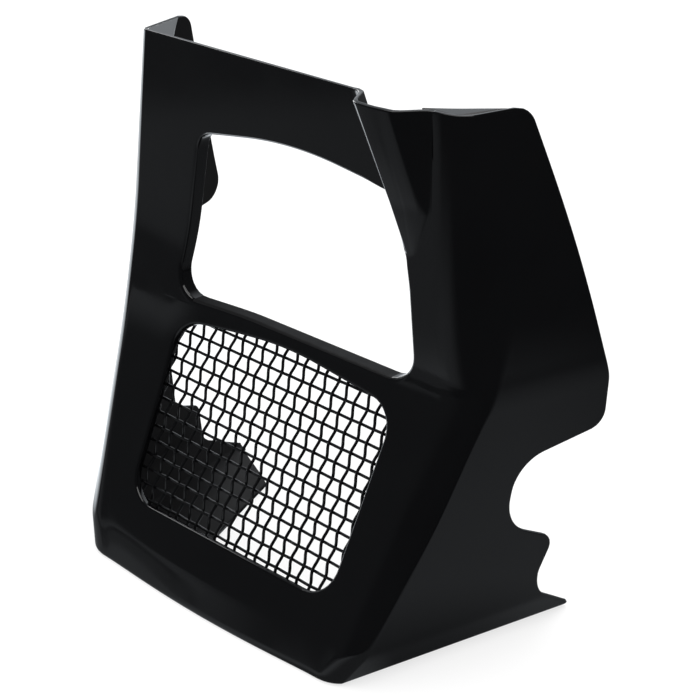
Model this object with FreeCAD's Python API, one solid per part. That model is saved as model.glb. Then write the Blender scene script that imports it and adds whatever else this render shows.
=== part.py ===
import FreeCAD, Part
import math
import os

# Chin spoiler: one moulded shell, open at the top, the rear and underneath,
# with a woven wire grille bonded behind its lower window.
# X runs across the bike, Y to the rear and Z up; the shell stands on its floor.
# Sizes are drawn from the upright front face, and the finished pieces are then
# set back so that the origin is the middle of the floor under the chin.

# Overall sizes
height = 333.0
wall = 3.0
floor_thickness = 3.0
crease_height = 169.0
bevel_height = 17.0

# Half width at the front corner, corner radius and side flare, from the floor up
floor_half = 114.7
bevel_half = 126.5
crease_half = 156.5
top_half = 132.0
floor_corner_radius = 18.0
low_corner_radius = 19.0
crease_corner_radius = 6.0
top_corner_radius = 4.0
low_flare = 0.224
crease_flare = 0.20
top_flare = 0.256

# Front face: upright above the crease, raked forward below it
chin_reach = 72.9
floor_reach = 79.5

# Arched cooler opening in the upright face
opening_drop = 3.0
top_band = 44.5
opening_arch = 9.5
opening_low_half = 103.0
opening_high_half = 82.0
opening_low_radius = 17.0
opening_high_radius = 14.0
opening_knee_half = 95.5
opening_knee_rise = 77.0
opening_knee_radius = 12.0
opening_lip_depth = 10.0

# Grille window in the raked face, measured down the slope from the crease
window_top = 17.0
window_length = 124.0
window_top_half = 95.5
window_bottom_half = 91.5
window_arch = 6.0
window_shoulder = 3.0
window_radius = 21.0
window_lip_depth = 5.0
arch_radius = 300.0

# Woven grille
wire = 2.2
wire_overlap = 1.2
grille_margin = 5.0
grille_columns = 12
grille_rows = 9

# Rear edges of the side walls, their reach counted from the upright face
top_reach = 46.0
top_round = 13.0
wing_reach = 93.0
wing_round = 14.0
wing_shoulder = 32.0
wing_blend = 40.0
tip_reach = 89.5
tip_height = 3.0
ear_back = 55.0
ear_round = 6.0
notch_low_round = 14.0
notch_high_round = 25.0
right_root_height = 26.0
right_waist_height = 41.0
right_ear_reach = 62.5
right_ear_height = 63.0
right_notch_reach = 25.0
right_notch_low = 88.0
right_wing_low = 133.0
left_root_height = 18.0
left_ear_reach = 53.0
left_ear_height = 46.0
left_notch_reach = 29.0
left_notch_low = 55.0
left_wing_low = 194.0
left_wing_reach = 90.0
notch_rake = 4.0
notch_fall = 10.0

# Gap in the middle of the floor
gap_front = 35.0
gap_front_half = 55.0
gap_rear = 64.0
gap_rear_half = 96.0
gap_tip_half = 165.0
gap_tip_reach = 94.5
gap_front_round = 20.0

# Corner webs at the top edge
web_across = 27.0
web_back = 34.0
web_depth = 30.0

# Swelling beside the right top corner, hollow behind: left foot, edge, crest,
# ridge and right foot across the bike, each with its reach in front of the face
swell_foot_drop = 89.0
swell_apex_drop = 58.0
swell_top = [53.0, 0.0, 69.0, 15.0, 88.0, 22.0, 99.0, 17.0, 111.0, 0.0]
swell_apex = [83.0, 0.0, 87.6, 5.6, 98.0, 6.0, 108.0, 2.5, 113.0, 0.0]
swell_foot = [95.0, 0.0, 97.0, 0.6, 99.0, 0.7, 101.0, 0.6, 103.0, 0.0]
swell_round = 8.0

# Reach of cutting tools past the pieces they cut
over = 8.0
behind = 200.0

rake = math.atan(chin_reach / (crease_height - bevel_height))
rear_limit = max(wing_reach, left_wing_reach, tip_reach) + 40.0
opening_low = crease_height - opening_drop
opening_high = height - top_band
opening_shoulder = opening_high - opening_arch
window_bottom = window_top + window_length
face_back = (floor_reach + gap_front) / 2


def vec(x, y, z):
    return FreeCAD.Vector(x, y, z)


def outline(points, place):
    """Closed wire through corner points (u, v, radius) with rounded corners."""
    joins = []
    count = len(points)
    for i in range(count):
        u, v, radius = points[i]
        corner = place(u, v)
        before = place(points[i - 1][0], points[i - 1][1])
        after = place(points[(i + 1) % count][0], points[(i + 1) % count][1])
        if radius <= 0:
            joins.append((corner, corner, None))
            continue
        to_before = (before - corner).normalize()
        to_after = (after - corner).normalize()
        half_angle = to_before.getAngle(to_after) / 2
        run = radius / math.tan(half_angle)
        middle = (to_before + to_after).normalize()
        depth = radius / math.sin(half_angle) - radius
        joins.append((corner + to_before * run, corner + to_after * run, corner + middle * depth))
    edges = []
    for i in range(count):
        start, end, middle = joins[i]
        if middle is not None:
            edges.append(Part.Arc(start, middle, end).toShape())
        following = joins[(i + 1) % count][0]
        if end.distanceToPoint(following) > 1e-6:
            edges.append(Part.makeLine(end, following))
    return Part.Wire(edges)


def prism(points, place, travel):
    """Solid swept along the travel from a rounded outline."""
    return Part.Face(outline(points, place)).extrude(travel)


def grown(points, place, travel, distance):
    """The same solid with its outline pushed outward by a distance."""
    wire_loop = outline(points, place).makeOffset2D(distance)
    return Part.Face(wire_loop).extrude(travel)


def blend(low, high, share):
    """Values part of the way from one list to another."""
    return [a + (b - a) * share for a, b in zip(low, high)]


# Places for drawing in the side, floor, upright and raked planes
slope_down = vec(0, -math.sin(rake), -math.cos(rake))
slope_in = vec(0, math.cos(rake), -math.sin(rake))


def on_side(y, z):
    return vec(0, y, z)


def on_floor(x, y):
    return vec(x, y, -over)


def on_front(x, z):
    return vec(x, 0, z)


def on_rake(x, down):
    return vec(x, 0, crease_height) + slope_down * down


def section(z, half, reach, radius, flare, inset, rear):
    """Plan outline of the shell at one height, drawn in by the inset."""
    front = inset - reach
    apex = half + flare * inset - inset * math.sqrt(1 + flare * flare)
    back = apex + flare * (rear - front)
    corner = max(radius - inset, 1.0)
    points = [(-apex, front, corner), (apex, front, corner), (back, rear, 0), (-back, rear, 0)]
    return outline(points, lambda x, y: vec(x, y, z))


def shell_solid(inset, rear, start):
    """Body from the section at the start height to one above the top edge."""
    floor = [0.0, floor_half, floor_reach, floor_corner_radius, low_flare]
    bevel = [bevel_height, bevel_half, chin_reach, low_corner_radius, low_flare]
    crease = [crease_height, crease_half, 0.0, crease_corner_radius, crease_flare]
    top = [height, top_half, 0.0, top_corner_radius, top_flare]
    first = blend(floor, bevel, start / bevel_height)
    last = blend(crease, top, 1 + over / (height - crease_height))
    wires = [section(*level, inset, rear) for level in (first, bevel, crease, last)]
    return Part.makeLoft(wires, True, True)


def swelling_section(shape, z, inset, back, round_share):
    """Plan outline of the swelling at one height, drawn in by the inset."""
    middle = (shape[0] + shape[8]) / 2
    narrowing = 1 - inset / (swell_top[8] - swell_top[0])
    left, edge, crest, ridge, right = [middle + (x - middle) * narrowing for x in shape[0::2]]
    edge_reach, crest_reach, ridge_reach = shape[3], shape[5], shape[7]
    radius = swell_round * round_share
    points = [
        (left, back, 0),
        (left, inset, 0),
        (edge, inset - edge_reach, radius),
        (crest, inset - crest_reach, radius),
        (ridge, inset - ridge_reach, radius),
        (right, inset, 0),
        (right, back, 0),
    ]
    return outline(points, lambda x, y: vec(x, y, z))


def swelling(inset, back, lift):
    """Tapered swelling of the upright face, drawn in by the inset."""
    top = blend(swell_apex, swell_top, 1 + lift / swell_apex_drop)
    wires = [
        swelling_section(swell_foot, height - swell_foot_drop, inset, back, 0.02),
        swelling_section(swell_apex, height - swell_apex_drop, inset, back, 0.3),
        swelling_section(top, height + lift, inset, back, 1.0),
    ]
    return Part.makeLoft(wires, True, True)


def corner_web(side):
    """Web filling a top corner and running out down the corner."""
    lean = (crease_half - top_half) / (height - crease_height)
    corner = vec(side * (top_half - wall / 2), wall / 2, height)
    across = corner + vec(-side * web_across, 0, 0)
    rearward = corner + vec(side * web_back * top_flare, web_back, 0)
    foot = corner + vec(side * web_depth * lean, 0, -web_depth)
    loops = [[corner, across, rearward], [corner, foot, across], [corner, rearward, foot], [across, foot, rearward]]
    faces = [Part.Face(Part.makePolygon(loop + [loop[0]])) for loop in loops]
    solid = Part.Solid(Part.Shell(faces))
    if solid.Volume < 0:
        solid.reverse()
    return solid


# Outlines of the two openings
opening_points = [
    (-opening_low_half, opening_low, opening_low_radius),
    (opening_low_half, opening_low, opening_low_radius),
    (opening_knee_half, opening_low + opening_knee_rise, opening_knee_radius),
    (opening_high_half, opening_shoulder, ear_round),
    (0.0, opening_high, arch_radius),
    (-opening_high_half, opening_shoulder - opening_drop, opening_high_radius),
]
window_points = [
    (-window_bottom_half, window_bottom, window_radius),
    (window_bottom_half, window_bottom, window_radius),
    (window_top_half, window_top + window_shoulder, window_radius),
    (0.0, window_top - window_arch, arch_radius),
    (-window_top_half, window_top + window_shoulder, window_radius),
]

# Rear edges from the floor tip up to the wing, then the level top and the space behind
right_edge = [
    (tip_reach, tip_height, 0),
    (ear_back, right_root_height, ear_round),
    (ear_back, right_waist_height, notch_low_round),
    (right_ear_reach, right_ear_height, ear_round),
    (right_notch_reach, right_notch_low, notch_low_round),
    (right_notch_reach + notch_rake, right_wing_low - notch_fall, notch_high_round),
    (wing_reach, right_wing_low, wing_round),
    (wing_reach, right_wing_low + wing_shoulder, wing_blend),
]
left_edge = [
    (tip_reach, tip_height, 0),
    (ear_back, left_root_height, ear_round),
    (left_ear_reach, left_ear_height, ear_round),
    (left_notch_reach, left_notch_low, ear_round),
    (left_notch_reach - notch_rake, left_wing_low - notch_fall, notch_high_round),
    (left_wing_reach, left_wing_low, ear_round),
]
top_and_behind = [
    (top_reach, height, top_round),
    (-behind, height, 0),
    (-behind, height + behind, 0),
    (behind, height + behind, 0),
    (behind, -over, 0),
    (tip_reach, -over, 0),
]
floor_gap = [
    (-gap_front_half, -gap_front, gap_front_round),
    (gap_front_half, -gap_front, gap_front_round),
    (gap_rear_half, gap_rear, ear_round),
    (gap_tip_half, gap_tip_reach, 0),
    (gap_tip_half, behind, 0),
    (-gap_tip_half, behind, 0),
    (-gap_tip_half, gap_tip_reach, 0),
    (-gap_rear_half, gap_rear, ear_round),
]

# Shell walls and floor
body = shell_solid(0.0, rear_limit, 0.0)
hollow = shell_solid(wall, rear_limit + over, floor_thickness)
shell = body.cut(hollow)
shell = shell.cut(prism(floor_gap, on_floor, vec(0, 0, 2 * over)))

# Inward lips round both openings, and the corner webs
opening_lip = grown(opening_points, on_front, vec(0, opening_lip_depth, 0), wall)
window_lip = grown(window_points, on_rake, slope_in * window_lip_depth, wall)
shell = shell.fuse([opening_lip, window_lip, corner_web(1), corner_web(-1)])
opening_cut = prism(opening_points, on_front, vec(0, opening_lip_depth + 3 * over, 0))
opening_cut.translate(vec(0, -over, 0))
window_cut = prism(window_points, on_rake, slope_in * (window_lip_depth + 3 * over))
window_cut.translate(slope_in * -over)
shell = shell.cut([opening_cut, window_cut])

# Swelling with its hollow, then the rear edges and the level top
shell = shell.fuse(swelling(0.0, wall / 2, over))
shell = shell.cut(swelling(wall, 2 * wall, 2 * over))
right_trim = prism(right_edge + top_and_behind, on_side, vec(behind, 0, 0))
left_trim = prism(left_edge + top_and_behind, on_side, vec(-behind, 0, 0))
shell = shell.cut([right_trim, left_trim]).removeSplitter()

# Grille: crossed layers of wire on the rear of the window lip
grille_top = window_top - window_arch - grille_margin
grille_length = window_bottom + grille_margin - grille_top
grille_half = window_top_half + grille_margin
column_pitch = 2 * grille_half / grille_columns
row_pitch = grille_length / grille_rows
row_depth = window_lip_depth + wire - wire_overlap


def bar(x, down, across, along, depth):
    """Square wire lying in the raked plane, centred on the given line."""
    origin = on_rake(x - wire / 2, down - wire / 2) + slope_in * depth
    side_step = vec(across, 0, 0)
    down_step = slope_down * along
    loop = [origin, origin + side_step, origin + side_step + down_step, origin + down_step, origin]
    return Part.Face(Part.makePolygon(loop)).extrude(slope_in * wire)


bars = []
for column in range(grille_columns + 1):
    x = column * column_pitch - grille_half
    bars.append(bar(x, grille_top, wire, grille_length + wire, window_lip_depth))
for row in range(grille_rows + 1):
    down = grille_top + row * row_pitch
    bars.append(bar(-grille_half, down, 2 * grille_half + wire, wire, row_depth))
grille = bars[0].fuse(bars[1:]).removeSplitter()

os.makedirs("parts", exist_ok=True)
for name, shape in (("spoiler_shell", shell), ("mesh_grille", grille)):
    shape.translate(vec(0, face_back, 0))
    print(name, len(shape.Solids), shape.isValid(), round(shape.Volume / 1000, 1))
    shape.exportStep("parts/" + name + ".step")
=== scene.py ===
"""Chin spoiler for a motorbike: a gloss black moulded shell with a woven wire grille.

The shell is one skin worked out with numpy from sizes close to the solid's: plan sections
that change with height, an O shaped grid round each opening with a rounded inward lip,
and a swelling beside the right top corner. It is then given its wall. Sizes are in
millimetres, with y counted from the upright face, until they go into a mesh.
"""
import logging
import math
from dataclasses import dataclass, field
from enum import Enum
from typing import Any

import bmesh
import bpy
import numpy as np
from mathutils import Matrix


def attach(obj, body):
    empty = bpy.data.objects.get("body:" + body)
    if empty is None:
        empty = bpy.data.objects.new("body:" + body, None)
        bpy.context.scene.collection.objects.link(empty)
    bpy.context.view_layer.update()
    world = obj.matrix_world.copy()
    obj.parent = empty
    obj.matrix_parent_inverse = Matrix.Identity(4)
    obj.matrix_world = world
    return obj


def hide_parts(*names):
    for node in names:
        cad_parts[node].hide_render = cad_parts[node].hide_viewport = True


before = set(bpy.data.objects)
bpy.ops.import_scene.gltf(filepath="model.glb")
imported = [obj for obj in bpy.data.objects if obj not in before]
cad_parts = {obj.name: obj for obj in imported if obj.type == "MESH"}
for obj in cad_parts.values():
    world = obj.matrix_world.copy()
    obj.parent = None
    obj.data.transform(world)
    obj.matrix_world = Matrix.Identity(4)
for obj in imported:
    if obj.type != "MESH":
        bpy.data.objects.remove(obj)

Array = np.ndarray
Socket = bpy.types.NodeSocket
Triple = tuple[float, float, float]
Value = Socket | float | tuple[float, ...]

LOG = logging.getLogger("chin_spoiler")
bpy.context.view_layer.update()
MM = 0.001
FACE_BACK = 57.25
BEVEL = 21.0
CREASE = 169.0
TOP = 333.0
RAKE_REACH = 72.9
RAKE_HEIGHT = 152.0
RAKE = math.atan(RAKE_REACH / RAKE_HEIGHT)
SLOPE_DOWN = np.array([0.0, -math.sin(RAKE), -math.cos(RAKE)])
SLOPE_IN = np.array([0.0, math.cos(RAKE), -math.sin(RAKE)])
UPWARD = (0.0, 0.0, 1.0)
MIRROR = np.array([-1.0, 1.0])
QUARTER_ROWS = 7
WELD = 0.01
HAIR = 1e-9


class Slot(Enum):
    """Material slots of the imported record."""

    SHELL = "gloss_black_shell"
    WIRE = "black_wire"


class Side(Enum):
    """Sides of the shell, with the sign of X on each."""

    RIGHT = 1.0
    LEFT = -1.0


def soft_abs(distance: Array, width: Array) -> Array:
    """Distance without its sign, with the corner at zero rounded to a parabola.

    Args:
        distance: signed distances from the corner.
        width: half width of the rounded part.

    Returns:
        |d| outside the width, and (d squared + w squared) / 2w inside it.
    """
    near = (distance * distance + width * width) / (2.0 * width)
    return np.where(np.abs(distance) >= width, np.abs(distance), near)


def smooth_step(share: Array) -> Array:
    """Share from 0 to 1 eased at both ends, 3t^2 - 2t^3 of the clipped share."""
    t = np.clip(share, 0.0, 1.0)
    return t * t * (3.0 - 2.0 * t)


def between(start: Array | float, end: Array | float, share: Array | float) -> Array:
    """Values a share of the way from the start to the end."""
    return start + share * (end - start)


def unit(vectors: Array) -> Array:
    """Vectors of the last axis, made one long."""
    return vectors / np.linalg.norm(vectors, axis=-1, keepdims=True)


def running_length(path: Array) -> Array:
    """Length of a polyline from its start to each of its points."""
    step = np.linalg.norm(np.diff(path, axis=0), axis=1)
    return np.concatenate([[0.0], np.cumsum(step)])


def columns_at(place: Array, known: Array, table: Array) -> Array:
    """Columns of a table, straight between its rows, on a new last axis.

    Args:
        place: where the table is read.
        known: where its rows lie, rising.
        table: one row for each known place.

    Returns:
        Array of the places' shape with one more axis.
    """
    return np.stack([np.interp(place, known, column) for column in table.T], axis=-1)


def along(path: Array, share: Array) -> Array:
    """Points at given shares of the length of an open polyline."""
    length = running_length(path)
    return columns_at(share * length[-1], length, path)


def quarter() -> tuple[Array, Array]:
    """Rows of a quarter circle: 1 - sin and 1 - cos of its angles."""
    angle = np.linspace(0.0, math.pi / 2.0, QUARTER_ROWS)
    return 1.0 - np.sin(angle), 1.0 - np.cos(angle)


def level(x: Array, z: float) -> Array:
    """Places across the front, all at one height."""
    return np.column_stack([x, np.full(len(x), z)])


def raised(plan: Array, z: Array) -> Array:
    """Rows of plan points, each row set at its height."""
    height = np.broadcast_to(z[:, None, None], (*plan.shape[:2], 1))
    return np.concatenate([plan, height], axis=2)


def numbers(*rows: float | tuple[float, ...]) -> Any:
    """Dataclass field that starts as an array of the given numbers or rows."""
    return field(default_factory=lambda: np.array(rows))


def rounded_corners(points: Array, steps: int) -> Array:
    """Closed polygon with each corner replaced by an arc of its radius.

    The arc touches both edges at radius * tan(turn / 2) from the corner, and its
    points are the start tangent turned evenly through the corner's turn.

    Args:
        points: corners as (u, v, radius), in order.
        steps: number of arc pieces at each corner.

    Returns:
        Array of shape (corners, steps + 1, 2) with the arc points of each corner.
    """
    corner = points[:, :2]
    before = unit(np.roll(corner, 1, axis=0) - corner)
    after = unit(np.roll(corner, -1, axis=0) - corner)
    cross = before[:, 0] * after[:, 1] - before[:, 1] * after[:, 0]
    turn = np.pi - np.arctan2(np.abs(cross), np.sum(before * after, axis=1))
    bend = -np.sign(cross)
    run = points[:, 2] * np.tan(turn / 2.0)
    start = corner + before * run[:, None]
    normal = np.stack([before[:, 1], -before[:, 0]], axis=1) * bend[:, None]
    centre = start + normal * points[:, 2:3]
    angle = np.linspace(0.0, 1.0, steps + 1)[None, :] * (turn * bend)[:, None]
    arm = start - centre
    x = arm[:, None, 0] * np.cos(angle) - arm[:, None, 1] * np.sin(angle)
    y = arm[:, None, 0] * np.sin(angle) + arm[:, None, 1] * np.cos(angle)
    return centre[:, None, :] + np.stack([x, y], axis=2)


def grid_faces(rows: int, columns: int, start: int, closed: bool) -> Array:
    """Quads of a grid of points stored row by row.

    Args:
        rows: number of point rows.
        columns: number of point columns.
        start: index of the first point.
        closed: whether the last column joins the first.

    Returns:
        Index array of shape (quads, 4).
    """
    index = start + np.arange(rows * columns).reshape(rows, columns)
    following = np.roll(index, -1, axis=1)
    if not closed:
        index, following = index[:, :-1], following[:, :-1]
    quads = np.stack([index[:-1], following[:-1], following[1:], index[1:]], axis=-1)
    return quads.reshape(-1, 4)


@dataclass
class Patchwork:
    """Grids of points collected into one mesh, in millimetres."""

    points: list[Array] = field(default_factory=list)
    quads: list[Array] = field(default_factory=list)
    count: int = 0

    def add(self, grid: Array, closed: bool = False) -> None:
        """Takes in a grid.

        Args:
            grid: points of shape (rows, columns, 3).
            closed: whether the last column joins the first.
        """
        rows, columns = grid.shape[:2]
        self.points.append(grid.reshape(-1, 3))
        self.quads.append(grid_faces(rows, columns, self.count, closed))
        self.count += rows * columns

    def mesh(self, name: str, weld: float, close: bool = False) -> bpy.types.Mesh:
        """Welded mesh of all the grids, set back to the part's origin.

        Args:
            name: name of the mesh.
            weld: distance within which points become one, in millimetres.
            close: whether open ends are filled.

        Returns:
            The new mesh, in metres.
        """
        points = np.concatenate(self.points) + np.array([0.0, FACE_BACK, 0.0])
        mesh = bpy.data.meshes.new(name)
        mesh.from_pydata(points * MM, [], np.concatenate(self.quads).tolist())
        work = bmesh.new()
        work.from_mesh(mesh)
        bmesh.ops.remove_doubles(work, verts=work.verts, dist=weld * MM)
        bmesh.ops.dissolve_degenerate(work, edges=work.edges, dist=weld * MM)
        if close:
            rims = [edge for edge in work.edges if edge.is_boundary]
            bmesh.ops.holes_fill(work, edges=rims, sides=0)
        bmesh.ops.recalc_face_normals(work, faces=work.faces)
        work.to_mesh(mesh)
        work.free()
        mesh.shade_smooth()
        return mesh


def linked(name: str, data: bpy.types.ID) -> bpy.types.Object:
    """New object for a mesh, light or camera, linked to the scene."""
    thing = bpy.data.objects.new(name, data)
    bpy.context.scene.collection.objects.link(thing)
    return thing


def new_piece(name: str, mesh: bpy.types.Mesh) -> bpy.types.Object:
    """Object for a finished mesh, riding on the part's one body.

    Args:
        name: name of the piece.
        mesh: its mesh, already in place.

    Returns:
        The new object.
    """
    piece = linked(name, mesh)
    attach(piece, "root")
    return piece


@dataclass(frozen=True)
class Ramp:
    """Where a change starts and ends, and the values held before and after it."""

    start: float
    end: float
    low: float = 0.0
    high: float = 1.0


@dataclass(frozen=True)
class Sector:
    """A direction, and the ramp over the cosine of the angle to it."""

    axis: Triple
    ramp: Ramp


@dataclass
class ShaderGraph:
    """Short forms for building a node tree."""

    tree: bpy.types.NodeTree

    def feed(self, socket: Socket, value: Value) -> None:
        """Links an input to a socket, or sets it to a plain value."""
        if isinstance(value, Socket):
            self.tree.links.new(value, socket)
        else:
            socket.default_value = value

    def add(self, kind: str, inputs: dict[str | int, Value], **settings: str) -> bpy.types.Node:
        """Adds a node.

        Args:
            kind: Blender's name for the node.
            inputs: sockets or values for its inputs, by name or number.
            settings: the node's own settings, made before the inputs are fed.

        Returns:
            The node.
        """
        node = self.tree.nodes.new(kind)
        for name, setting in settings.items():
            setattr(node, name, setting)
        for name, value in inputs.items():
            self.feed(node.inputs[name], value)
        return node

    def scalar(self, operation: str, *values: Value) -> Socket:
        """Result of a sum on numbers."""
        return self.add("ShaderNodeMath", dict(enumerate(values)), operation=operation).outputs["Value"]

    def vector(self, operation: str, output: str, *values: Value) -> Socket:
        """Result of a sum on vectors, from the named output."""
        node = self.add("ShaderNodeVectorMath", dict(enumerate(values)), operation=operation)
        return node.outputs[output]

    def towards(self, first: Value, second: Value, share: Value) -> Socket:
        """First value moved towards the second by a share."""
        step = self.scalar("MULTIPLY", self.scalar("SUBTRACT", second, first), share)
        return self.scalar("ADD", first, step)

    def through(self, value: Socket, ramp: Ramp, easing: str = "SMOOTHSTEP") -> Socket:
        """Result of a value on a ramp.

        Args:
            value: the value.
            ramp: the ramp.
            easing: Blender's name for the way between its ends.

        Returns:
            Socket of the result.
        """
        names = ("From Min", "From Max", "To Min", "To Max")
        ends = dict(zip(names, (ramp.start, ramp.end, ramp.low, ramp.high)))
        node = self.add("ShaderNodeMapRange", {"Value": value, **ends}, interpolation_type=easing)
        return node.outputs["Result"]

    def within(self, direction: Socket, sector: Sector) -> Socket:
        """Result of a direction on a sector's ramp."""
        return self.through(self.vector("DOT_PRODUCT", "Value", direction, sector.axis), sector.ramp)

    def blend(self, share: Value, first: Socket, second: Socket) -> Socket:
        """Mix of two shaders."""
        return self.add("ShaderNodeMixShader", {"Fac": share, 1: first, 2: second}).outputs["Shader"]


@dataclass(frozen=True)
class Finish:
    """A procedural finish: one shader with noise in its colour, its roughness and its relief.

    Cloud and patch hold the scale of their noise as a multiple of the ripple, and its detail.
    """

    name: str
    colour: Triple
    tint: Triple
    smooth: float
    rough: float
    grain: float
    ripple: float
    relief: float
    specular: float = 0.5
    cloud: tuple[float, float] = (0.6, 3.0)
    patch: tuple[float, float] = (2.3, 6.0)
    patch_span: tuple[float, float] = (0.3, 0.7)
    wave_detail: float = 1.0
    grain_detail: float = 2.0
    peel: float = 0.02

    def material(self) -> bpy.types.Material:
        """Builds the node tree once: cloudy colour, patchy gloss, long ripple and fine grain.

        Returns:
            The material, the same one for each piece with this finish.
        """
        if self.name in bpy.data.materials:
            return bpy.data.materials[self.name]
        material = bpy.data.materials.new(self.name)
        material.use_nodes = True
        graph = ShaderGraph(material.node_tree)
        place = graph.add("ShaderNodeTexCoord", {}).outputs["Object"]

        def noise(scale: float, detail: float) -> Socket:
            """Noise on the object's own coordinates."""
            inputs = {"Vector": place, "Scale": scale, "Detail": detail}
            return graph.add("ShaderNodeTexNoise", inputs).outputs["Fac"]

        def bump(height: Socket, distance: float, **below: Socket) -> Socket:
            """Relief of a height in millimetres, over the relief below it."""
            inputs = {"Strength": 1.0, "Distance": distance * MM, "Height": height, **below}
            return graph.add("ShaderNodeBump", inputs).outputs["Normal"]

        cloud = noise(self.ripple * self.cloud[0], self.cloud[1])
        colours = {"A": (*self.colour, 1.0), "B": (*self.tint, 1.0), "Factor": cloud}
        patch = noise(self.ripple * self.patch[0], self.patch[1])
        wave = bump(noise(self.ripple, self.wave_detail), self.relief)
        grain = noise(self.grain, self.grain_detail)
        inputs = {
            "Base Color": graph.add("ShaderNodeMix", colours, data_type="RGBA").outputs["Result"],
            "Roughness": graph.through(patch, Ramp(*self.patch_span, self.smooth, self.rough), "LINEAR"),
            "Normal": bump(grain, self.peel * self.relief, Normal=wave),
            "Specular IOR Level": self.specular,
        }
        shader = material.node_tree.nodes["Principled BSDF"]
        for name, value in inputs.items():
            graph.feed(shader.inputs[name], value)
        return material


GLOSS_SKIN = Finish(
    "gloss_black_skin", (0.0008, 0.0008, 0.001), (0.0018, 0.0018, 0.0021),
    smooth=0.05, rough=0.11, grain=1400.0, ripple=16.0, relief=0.05,
)
PLAIN_BACK = Finish(
    "plain_black_back", (0.0058, 0.0058, 0.0062), (0.0105, 0.0105, 0.0111),
    smooth=0.4, rough=0.52, grain=1900.0, ripple=26.0, relief=0.1, specular=0.07,
)
WIRE_COAT = Finish(
    "black_wire_coat", (0.0012, 0.0012, 0.0014), (0.003, 0.003, 0.0033),
    smooth=0.07, rough=0.16, grain=2600.0, ripple=120.0, relief=0.05,
)


@dataclass(frozen=True)
class CornerBlend:
    """How one front corner is rounded: runs along front and side, tuck and softness of its crease.

    The control stands before the corner by its own run, so the corner meets the side in an
    edge where that run is above zero and smoothly where it is zero. The tuck draws the
    start of the side in and back by the same distance.
    """

    heights: tuple[float, ...]
    front_runs: tuple[float, ...]
    side_runs: tuple[float, ...]
    control_runs: tuple[float, ...]
    tucks: tuple[float, ...]
    front_softness: float
    side_softness: float
    easing: int = 31

    def runs(self, z: Array) -> Array:
        """Works out the runs, averaged over the easing length.

        Args:
            z: heights.

        Returns:
            The three runs and the tuck, each with a value for every height.
        """
        fine = np.arange(0.0, TOP + 1.0)
        box = np.full(self.easing, 1.0 / self.easing)
        found = []
        for table in (self.front_runs, self.side_runs, self.control_runs, self.tucks):
            padded = np.pad(np.interp(fine, self.heights, table), self.easing // 2, mode="edge")
            found.append(np.interp(z, fine, np.convolve(padded, box, mode="valid")))
        return np.stack(found)


CORNERS = {
    Side.RIGHT: CornerBlend(
        heights=(0.0, 17.0, 50.0, 100.0, 150.0, CREASE, 200.0, 245.0, TOP),
        front_runs=(15.0, 16.0, 18.0, 21.0, 27.0, 31.0, 33.0, 28.0, 19.0),
        side_runs=(6.0, 7.0, 9.0, 11.0, 8.0, 10.0, 26.0, 27.0, 12.0),
        control_runs=(4.0, 4.5, 6.0, 8.0, 6.0, 3.0, 0.0, 0.0, 0.0),
        tucks=(0.0, 0.0, 0.0, 1.0, 2.5, 3.0, 1.0, 0.0, 0.0),
        front_softness=10.0,
        side_softness=8.0,
    ),
    Side.LEFT: CornerBlend(
        heights=(0.0, 17.0, CREASE, TOP),
        front_runs=(16.5, 16.5, 6.0, 3.0),
        side_runs=(19.5, 19.5, 10.0, 5.0),
        control_runs=(-1.5, -1.5, -2.0, -1.0),
        tucks=(-1.5, -1.5, -2.0, -1.0),
        front_softness=60.0,
        side_softness=60.0,
    ),
}


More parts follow.
